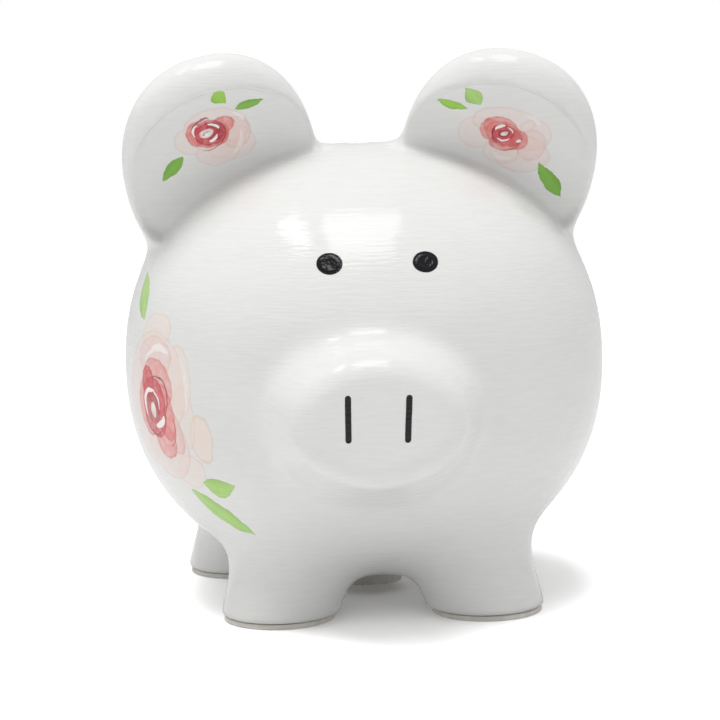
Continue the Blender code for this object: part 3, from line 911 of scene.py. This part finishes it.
def turned(name, profile, material):
    """A solid turned around the upright axis from (radius, height) points, from top to bottom.

    The first and the last point lie on the axis.
    """
    turns = [math.tau * side / TURNED_SIDES for side in range(TURNED_SIDES)]
    points = [(0, 0, profile[0][1])]
    for radius, height in profile[1:-1]:
        points += [(radius * math.cos(turn), radius * math.sin(turn), height) for turn in turns]
    points.append((0, 0, profile[-1][1]))
    faces = []
    for side in range(TURNED_SIDES):
        here, beside = side + 1, (side + 1) % TURNED_SIDES + 1
        faces.append((0, here, beside))
        for ring in range(0, len(points) - 2 - TURNED_SIDES, TURNED_SIDES):
            below = ring + TURNED_SIDES
            faces.append((ring + here, below + here, below + beside, ring + beside))
        lowest = len(points) - 2 - TURNED_SIDES
        faces.append((len(points) - 1, lowest + beside, lowest + here))
    mesh = bpy.data.meshes.new(name)
    mesh.from_pydata(points, [], faces)
    mesh.shade_smooth()
    mesh.materials.append(material)
    return mesh


def corner(radius, height, rounding, start):
    """Points of a quarter circle inside a corner, clockwise from this direction in degrees."""
    angles = [math.radians(start - 90 * i / CORNER_STEPS) for i in range(CORNER_STEPS + 1)]
    return [(radius + rounding * math.cos(a), height + rounding * math.sin(a)) for a in angles]


def make_foot_pads():
    """Four thin round pads with softened edges, stuck under the feet."""
    radius = (front_pad_high.x - front_pad_low.x) / 2
    thickness = front_pad_high.z - front_pad_low.z
    upper = corner(radius - PAD_EDGE, thickness - PAD_EDGE, PAD_EDGE, 90)
    lower = corner(radius - PAD_EDGE, PAD_EDGE, PAD_EDGE, 0)
    finish = rubber("pad_rubber", colour(234, 232, 227), colour(220, 217, 210), 0.0006, 0.65)
    for end, middle, foot_x, foot_y in (
        ("front", FRONT_FEET_MIDDLE, FRONT_FOOT_X, -FOOT_Y),
        ("rear", 0.0, REAR_FOOT_X, FOOT_Y),
    ):
        for side, sign in (("left", -1), ("right", 1)):
            name = f"{end}_{side}_foot_pad"
            disc = turned(name, [(0, thickness), *upper, *lower, (0, 0)], finish)
            place = (middle + sign * foot_x, foot_y, 0)
            add_piece(name, disc, place, "bank", f"foot_pad_{end}_{side}")


# ---------------------------------------------------------------- floor, light and camera

FLOOR_HALF_SIZE = 3.0
FLOOR_ALBEDO = 0.57  # what the floor gives back to the object
FLOOR_EXPOSURE = 1.32  # what it gives back to the camera, so that only its shadows are darker than white
FLOOR_LIGHT = 0.13  # light from the floor on the object, on top of what it gives back
FLOOR_GLOW = 0.03  # the same for the camera. It keeps the shadow under the belly from going black.

WORLD_LIGHT = 0.67
WORLD_DIP = 0.50  # the share of this light that is missing straight behind the camera

SOFTBOXES = (  # name, place, size and power
    ("narrow_softbox", (-0.44, -0.22, 1.30), (0.18, 0.55), 2.86),
    ("wide_softbox", (0.0, -0.45, 1.30), (0.42, 0.72), 8.14),
)
SOFTBOX_GLARE = 0.42  # the share of a soft box's light that the glaze reflects as a bright patch
LEFT_FILL_PLACE = (-1.4, -0.4, 0.7)
LEFT_FILL_AIM = (0, 0, 0.1)
LEFT_FILL_SIZE = (1.0, 1.2)
LEFT_FILL_POWER = 1.0
FLOOR_SUN_POWER = 1.5
FLOOR_SUN_WIDTH = math.radians(35)  # as seen from the floor: it softens the shadow's edge
FLOOR_SUN_TILT = math.radians(10)  # its shadow falls a little to the right

CAMERA_DISTANCE = 0.750
CAMERA_BEARING = math.radians(3.9)  # to the left of straight ahead
CAMERA_HEIGHT = 0.1652
CAMERA_AIM = (0.0, 0.0, 0.0937)
CAMERA_ROLL = math.radians(1.4)
CAMERA_SHIFT = -0.0042  # as a share of the picture: what it aims at stands a little to the right
SENSOR_WIDTH = 36.0  # in millimetres, as the focal length is
FOCAL_LENGTH = 92.8
NEAREST_SEEN = 0.01


def seen_by_camera(tree):
    """1 for what the camera sees directly, 0 for what only lights the object."""
    return node_of(tree, "ShaderNodeLightPath")[0]


def make_stage():
    """A wide white floor, bright enough to merge with the white behind it, as in a light tent."""
    half = FLOOR_HALF_SIZE
    corners = [(-half, -half, 0), (half, -half, 0), (half, half, 0), (-half, half, 0)]
    mesh = bpy.data.meshes.new("floor")
    mesh.from_pydata(corners, [], [(0, 1, 2, 3)])
    floor = bpy.data.objects.new("floor", mesh)
    bpy.context.scene.collection.objects.link(floor)
    material, tree, _ = new_material("pale_floor")
    shade = seen_by_camera(tree) * (FLOOR_EXPOSURE - FLOOR_ALBEDO) + FLOOR_ALBEDO
    matt = node_of(tree, "ShaderNodeBsdfDiffuse", {"Color": vector_of(shade, shade, shade)})[0]
    strength = seen_by_camera(tree) * (FLOOR_GLOW - FLOOR_LIGHT) + FLOOR_LIGHT
    glow = node_of(tree, "ShaderNodeEmission", {"Strength": strength})[0]
    total = node_of(tree, "ShaderNodeAddShader", [matt, glow])[0]
    tree.links.new(total.socket, tree.nodes["Material Output"].inputs["Surface"])
    mesh.materials.append(material)
    return floor


def make_world():
    """White to the camera, and otherwise an even light that is weaker from behind the camera."""
    world = bpy.data.worlds.new("studio")
    bpy.context.scene.world = world
    world.use_nodes = True
    tree = world.node_tree
    _, y, _ = parts_of(node_of(tree, "ShaderNodeTexCoord")[0])
    light = (1 - (-y).math("MAXIMUM", 0) * WORLD_DIP) * WORLD_LIGHT
    strength = light + seen_by_camera(tree) * (1 - light)
    tree.links.new(strength.socket, tree.nodes["Background"].inputs["Strength"])
    tree.nodes["Background"].inputs["Color"].default_value = (1, 1, 1, 1)


def make_area_light(name, place, aim, size, power, reflected=True):
    data = bpy.data.lights.new(name, "AREA")
    data.shape = "RECTANGLE"
    data.size, data.size_y = size
    data.energy = power
    light = bpy.data.objects.new(name, data)
    bpy.context.scene.collection.objects.link(light)
    light.location = place
    light.rotation_euler = (Vector(aim) - Vector(place)).to_track_quat("-Z", "Y").to_euler()
    light.visible_glossy = reflected


def make_lights():
    """Two soft boxes overhead, with the gap between them that the glaze reflects, and a fill."""
    for name, place, size, power in SOFTBOXES:
        under = (place[0], place[1], 0)
        make_area_light(name, place, under, size, power * SOFTBOX_GLARE)
        make_area_light(name + "_soft", place, under, size, power * (1 - SOFTBOX_GLARE), reflected=False)
    fill = (LEFT_FILL_PLACE, LEFT_FILL_AIM, LEFT_FILL_SIZE, LEFT_FILL_POWER)
    make_area_light("left_fill", *fill, reflected=False)


def make_floor_sun(floor):
    """A wide sun that lights only the floor, so that the bank's shadow on it is deeper."""
    data = bpy.data.lights.new("floor_sun", "SUN")
    data.energy = FLOOR_SUN_POWER
    data.angle = FLOOR_SUN_WIDTH
    sun = bpy.data.objects.new("floor_sun", data)
    sun.rotation_euler = (0, -FLOOR_SUN_TILT, 0)
    bpy.context.scene.collection.objects.link(sun)
    lit = bpy.data.collections.new("lit_by_floor_sun")
    lit.objects.link(floor)
    sun.light_linking.receiver_collection = lit


def make_camera():
    """The camera stands a little to the left of straight ahead, and looks slightly down."""
    data = bpy.data.cameras.new("camera")
    data.lens = FOCAL_LENGTH
    data.sensor_width = SENSOR_WIDTH
    data.clip_start = NEAREST_SEEN
    data.shift_x = CAMERA_SHIFT
    camera = bpy.data.objects.new("camera", data)
    bpy.context.scene.collection.objects.link(camera)
    x, y = -math.sin(CAMERA_BEARING), -math.cos(CAMERA_BEARING)
    place = Vector((CAMERA_DISTANCE * x, CAMERA_DISTANCE * y + SETBACK, CAMERA_HEIGHT))
    aim = Vector(CAMERA_AIM) + Vector((0, SETBACK, 0))
    turn = (aim - place).to_track_quat("-Z", "Y").to_matrix() @ Matrix.Rotation(-CAMERA_ROLL, 3, "Z")
    camera.matrix_world = Matrix.Translation(place) @ turn.to_4x4()
    bpy.context.scene.camera = camera


make_ceramic()
make_stopper()
make_foot_pads()
floor = make_stage()
make_world()
make_lights()
make_floor_sun(floor)
make_camera()
bpy.context.scene.view_settings.view_transform = "Standard"
